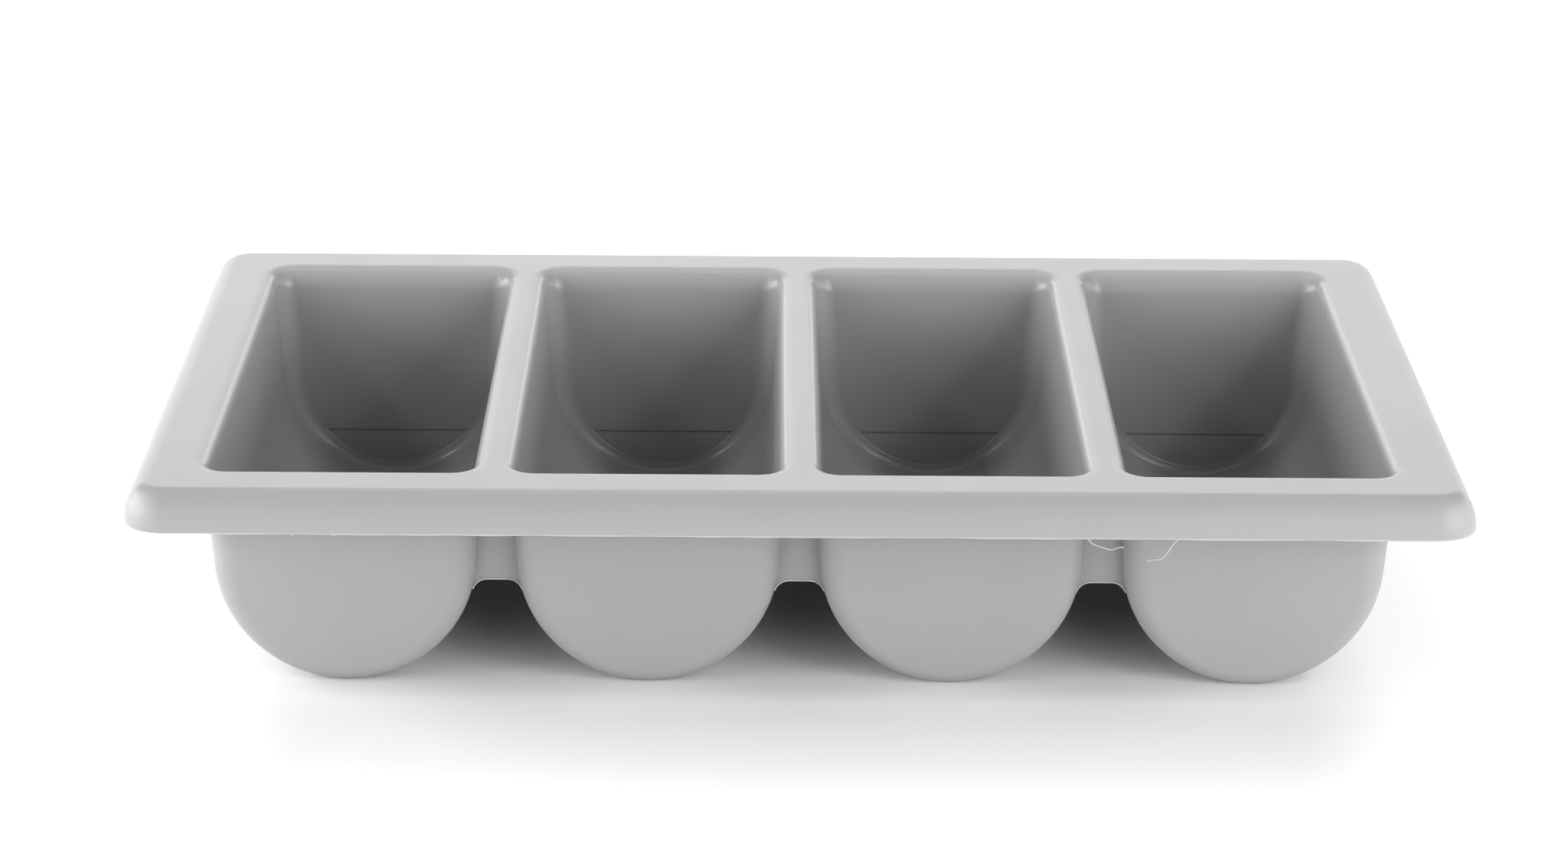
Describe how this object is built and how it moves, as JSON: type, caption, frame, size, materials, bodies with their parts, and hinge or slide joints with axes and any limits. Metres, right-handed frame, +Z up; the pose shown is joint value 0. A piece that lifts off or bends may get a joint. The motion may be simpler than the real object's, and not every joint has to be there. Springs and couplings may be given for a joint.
{
  "type": "cutlery container",
  "caption": "Shallow rectangular cutlery container with a flat rim, a turned-down skirt and a row of deep round-bottomed troughs that sort cutlery for self-service.",
  "frame": {"origin": "middle of the footprint, on the surface that the troughs stand on", "axes": "+X along the row of compartments, -Y to the front, +Z up"},
  "size_m": [0.53, 0.325, 0.095],
  "materials": {
    "tray_plastic": "satin light grey with a fine moulded grain"
  },
  "bodies": {
    "root": {"rim_land": "tray_plastic", "rim_skirt": "tray_plastic", "compartment_1": "tray_plastic", "compartment_2": "tray_plastic", "compartment_3": "tray_plastic", "compartment_4": "tray_plastic", "divider_1": "tray_plastic", "divider_2": "tray_plastic", "divider_3": "tray_plastic", "front_web_1": "tray_plastic", "front_web_2": "tray_plastic", "front_web_3": "tray_plastic", "back_web_1": "tray_plastic", "back_web_2": "tray_plastic", "back_web_3": "tray_plastic"}
  },
  "joints": []
}
